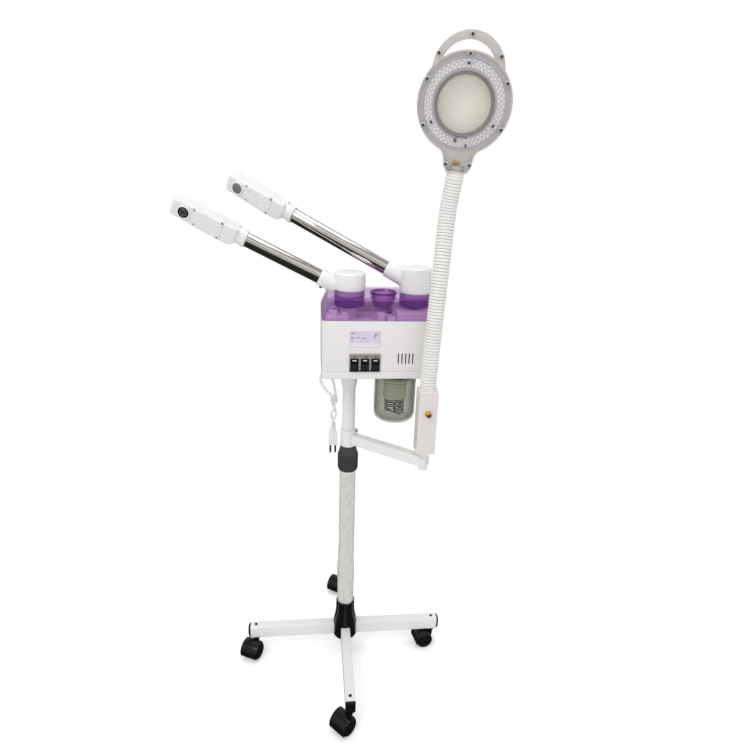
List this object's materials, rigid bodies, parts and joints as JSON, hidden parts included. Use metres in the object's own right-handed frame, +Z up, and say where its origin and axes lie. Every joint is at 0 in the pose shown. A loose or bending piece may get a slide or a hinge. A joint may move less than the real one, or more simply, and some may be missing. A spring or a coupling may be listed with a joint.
{
  "type": "facial steamer with magnifying lamp",
  "caption": "Wheeled salon facial steamer: clear-topped white housing on a height-adjustable column, swivelling steam arms, hanging water jar and magnifying lamp on a flexible neck.",
  "frame": {"origin": "on the floor, on the axis of the column", "axes": "+Z up; +X to the viewer's right facing the switch panel; -Y is the front, where the switches are"},
  "size_m": [0.5385, 0.4578, 1.2362],
  "materials": {
    "white_plastic": "satin, slightly warm white",
    "white_gloss": "gloss white",
    "white_tube": "white paint",
    "black_gloss": "gloss black",
    "black_plastic": "satin black",
    "black_tyre": "black polyurethane tread",
    "grey_plastic": "dark grey satin",
    "silver_panel": "brushed silver grey",
    "purple_clear": "clear purple plastic",
    "smoke_clear": "smoke grey clear jar",
    "clear_cover": "clear, slightly grey",
    "lens_clear": "polished",
    "chrome": "polished",
    "steel": "bright",
    "screw_dark": "dark",
    "brass": "bright",
    "button_red": "dark red",
    "led_white": "white solder mask",
    "board_green": "green board",
    "grey_gloss": "grey",
    "ivory": "ivory",
    "cord_white": "white",
    "uv_glass": "quartz tube"
  },
  "bodies": {
    "base": {"base_hub": "black_gloss", "base_legs": "white_tube", "leg_end_caps": "black_gloss", "leg_screws": "screw_dark", "caster_stems": "steel", "lower_column_tube": "white_tube", "collet_sleeve": "black_plastic"},
    "locking_collar": {"locking_collar": "grey_plastic"},
    "upper_column": {"upper_column_tube": "white_tube"},
    "steamer_body": {"column_socket": "white_plastic", "bottom_plate": "white_plastic", "housing_shell": "white_plastic", "top_cover": "purple_clear", "switch_panel": "silver_panel", "control_board": "board_green", "ozone_lamp": "uv_glass", "boiler_head": "steel", "heater_element": "steel", "power_cord": "cord_white"},
    "rocker_1": {"rocker_1": "black_plastic"},
    "rocker_2": {"rocker_2": "black_plastic"},
    "rocker_3": {"rocker_3": "black_plastic"},
    "jar": {"jar": "smoke_clear"},
    "jar_ring": {"jar_ring": "black_plastic"},
    "funnel": {"funnel": "purple_clear"},
    "arm_left": {"arm_left_base": "white_gloss", "arm_left_tube": "chrome"},
    "nozzle_left": {"arm_left_nozzle": "white_gloss", "arm_left_outlet": "screw_dark"},
    "arm_right": {"arm_right_base": "white_gloss", "arm_right_tube": "chrome"},
    "nozzle_right": {"arm_right_nozzle": "white_gloss", "arm_right_outlet": "screw_dark"},
    "lamp_bracket": {"lamp_bracket": "white_tube", "bracket_screw": "screw_dark"},
    "lamp_box": {"lamp_box": "white_tube", "lamp_switch_bushing": "brass"},
    "lamp_button": {"lamp_button": "button_red"},
    "neck_1": {"neck_segment_1": "white_plastic"},
    "neck_2": {"neck_segment_2": "white_plastic"},
    "neck_3": {"neck_segment_3": "white_plastic"},
    "lamp_head": {"lamp_head_back": "white_plastic", "lamp_head_front": "clear_cover", "lens_bezel": "grey_gloss", "lens": "lens_clear", "led_board": "led_white", "head_screws": "screw_dark"},
    "lens_cap": {"lens_cap": "ivory"},
    "caster_front": {"caster_front_housing": "black_plastic"},
    "caster_front_wheel_a": {"caster_front_wheel_a": "black_tyre"},
    "caster_front_wheel_b": {"caster_front_wheel_b": "black_tyre"},
    "caster_right": {"caster_right_housing": "black_plastic"},
    "caster_right_wheel_a": {"caster_right_wheel_a": "black_tyre"},
    "caster_right_wheel_b": {"caster_right_wheel_b": "black_tyre"},
    "caster_rear": {"caster_rear_housing": "black_plastic"},
    "caster_rear_wheel_a": {"caster_rear_wheel_a": "black_tyre"},
    "caster_rear_wheel_b": {"caster_rear_wheel_b": "black_tyre"},
    "caster_left": {"caster_left_housing": "black_plastic"},
    "caster_left_wheel_a": {"caster_left_wheel_a": "black_tyre"},
    "caster_left_wheel_b": {"caster_left_wheel_b": "black_tyre"}
  },
  "joints": [
    {"name": "column_height", "type": "slide", "parent": "base", "child": "upper_column", "axis": [0, 0, 1], "range_m": [0, 0.17]},
    {"name": "collar_turn", "type": "hinge", "parent": "base", "child": "locking_collar", "pos_m": [0, 0, 0.49], "axis": [0, 0, 1], "range_deg": [0, 180]},
    {"name": "body_turn", "type": "hinge", "parent": "upper_column", "child": "steamer_body", "pos_m": [0, 0, 0.686], "axis": [0, 0, 1], "range_deg": [0, 60]},
    {"name": "bracket_turn", "type": "hinge", "parent": "upper_column", "child": "lamp_bracket", "pos_m": [0, 0, 0.534], "axis": [0, 0, 1], "range_deg": [-90, 0]},
    {"name": "lamp_box_turn", "type": "hinge", "parent": "lamp_bracket", "child": "lamp_box", "pos_m": [0.1335, -0.105, 0.54], "axis": [0, 0, 1], "range_deg": [-90, 90]},
    {"name": "lamp_button_press", "type": "slide", "parent": "lamp_box", "child": "lamp_button", "axis": [0, 1, 0], "range_m": [0, 0.003], "stiffness_N_per_m": 400, "springref_m": -0.001},
    {"name": "neck_1_bend", "type": "hinge", "parent": "lamp_box", "child": "neck_1", "pos_m": [0.1335, -0.105, 0.6965], "axis": [1, 0, 0], "range_deg": [0, 45]},
    {"name": "neck_2_bend", "type": "hinge", "parent": "neck_1", "child": "neck_2", "pos_m": [0.13782, -0.10234, 0.79166], "axis": [0, 1, 0], "range_deg": [-20, 40]},
    {"name": "lens_cap_open", "type": "hinge", "parent": "lamp_head", "child": "lens_cap", "pos_m": [0.16286, -0.0761, 1.08797], "axis": [-0.9814, 0.1885, 0.0367], "range_deg": [0, 110]},
    {"name": "arm_left_turn", "type": "hinge", "parent": "steamer_body", "child": "arm_left", "pos_m": [-0.004, -0.018, 0.8335], "axis": [0, 0, 1], "range_deg": [-76, 89]},
    {"name": "arm_right_turn", "type": "hinge", "parent": "steamer_body", "child": "arm_right", "pos_m": [0.1155, -0.018, 0.8485], "axis": [0, 0, 1], "range_deg": [-73, 61]},
    {"name": "nozzle_left_turn", "type": "hinge", "parent": "arm_left", "child": "nozzle_left", "pos_m": [-0.18365, -0.01173, 0.92117], "axis": [-0.8982, 0.0314, 0.4384], "range_deg": [-90, 90]},
    {"name": "nozzle_right_turn", "type": "hinge", "parent": "arm_right", "child": "nozzle_right", "pos_m": [-0.10395, 0.04493, 0.95985], "axis": [-0.864, 0.2477, 0.4384], "range_deg": [-90, 90]},
    {"name": "rocker_1_press", "type": "hinge", "parent": "steamer_body", "child": "rocker_1", "pos_m": [0.00305, -0.0805, 0.7155], "axis": [1, 0, 0], "range_deg": [0, 14]},
    {"name": "rocker_2_press", "type": "hinge", "parent": "steamer_body", "child": "rocker_2", "pos_m": [0.02175, -0.0805, 0.7155], "axis": [1, 0, 0], "range_deg": [0, 14]},
    {"name": "rocker_3_press", "type": "hinge", "parent": "steamer_body", "child": "rocker_3", "pos_m": [0.04045, -0.0805, 0.7155], "axis": [1, 0, 0], "range_deg": [0, 14]},
    {"name": "jar_lower", "type": "slide", "parent": "steamer_body", "child": "jar", "axis": [0, 0, -1], "range_m": [0, 0.038]},
    {"name": "jar_ring_turn", "type": "hinge", "parent": "jar", "child": "jar_ring", "pos_m": [0.087, -0.02, 0.682], "axis": [0, 0, 1], "range_deg": [0, 60]},
    {"name": "funnel_lift", "type": "slide", "parent": "steamer_body", "child": "funnel", "axis": [0, 0, 1], "range_m": [0, 0.011]},
    {"name": "caster_front_swivel", "type": "hinge", "parent": "base", "child": "caster_front", "pos_m": [0, -0.2, 0.042], "axis": [0, 0, 1], "continuous": true},
    {"name": "caster_right_swivel", "type": "hinge", "parent": "base", "child": "caster_right", "pos_m": [0.2, 0, 0.042], "axis": [0, 0, 1], "continuous": true},
    {"name": "caster_rear_swivel", "type": "hinge", "parent": "base", "child": "caster_rear", "pos_m": [0, 0.2, 0.042], "axis": [0, 0, 1], "continuous": true},
    {"name": "caster_left_swivel", "type": "hinge", "parent": "base", "child": "caster_left", "pos_m": [-0.2, 0, 0.042], "axis": [0, 0, 1], "continuous": true},
    {"name": "neck_3_bend", "type": "hinge", "parent": "neck_2", "child": "neck_3", "pos_m": [0.14443, -0.09254, 0.88623], "axis": [1, 0, 0], "range_deg": [0, 45]},
    {"name": "head_bend", "type": "hinge", "parent": "neck_3", "child": "lamp_head", "pos_m": [0.15328, -0.07681, 0.97981], "axis": [0, 1, 0], "range_deg": [-20, 40]},
    {"name": "caster_front_roll_a", "type": "hinge", "parent": "caster_front", "child": "caster_front_wheel_a", "pos_m": [-0.01295, -0.2125, 0.018], "axis": [0.6947, -0.7193, 0], "continuous": true},
    {"name": "caster_front_roll_b", "type": "hinge", "parent": "caster_front", "child": "caster_front_wheel_b", "pos_m": [-0.01295, -0.2125, 0.018], "axis": [0.6947, -0.7193, 0], "continuous": true},
    {"name": "caster_right_roll_a", "type": "hinge", "parent": "caster_right", "child": "caster_right_wheel_a", "pos_m": [0.18239, -0.00374, 0.018], "axis": [0.2079, -0.9781, 0], "continuous": true},
    {"name": "caster_right_roll_b", "type": "hinge", "parent": "caster_right", "child": "caster_right_wheel_b", "pos_m": [0.18239, -0.00374, 0.018], "axis": [0.2079, -0.9781, 0], "continuous": true},
    {"name": "caster_rear_roll_a", "type": "hinge", "parent": "caster_rear", "child": "caster_rear_wheel_a", "pos_m": [-0.00954, 0.18474, 0.018], "axis": [0.848, -0.5299, 0], "continuous": true},
    {"name": "caster_rear_roll_b", "type": "hinge", "parent": "caster_rear", "child": "caster_rear_wheel_b", "pos_m": [-0.00954, 0.18474, 0.018], "axis": [0.848, -0.5299, 0], "continuous": true},
    {"name": "caster_left_roll_a", "type": "hinge", "parent": "caster_left", "child": "caster_left_wheel_a", "pos_m": [-0.20789, -0.01618, 0.018], "axis": [0.8988, -0.4384, 0], "continuous": true},
    {"name": "caster_left_roll_b", "type": "hinge", "parent": "caster_left", "child": "caster_left_wheel_b", "pos_m": [-0.20789, -0.01618, 0.018], "axis": [0.8988, -0.4384, 0], "continuous": true}
  ],
  "couplings": [
    {"joint": "neck_3_bend", "follows": "neck_1_bend", "ratio": 1},
    {"joint": "head_bend", "follows": "neck_2_bend", "ratio": 1}
  ]
}
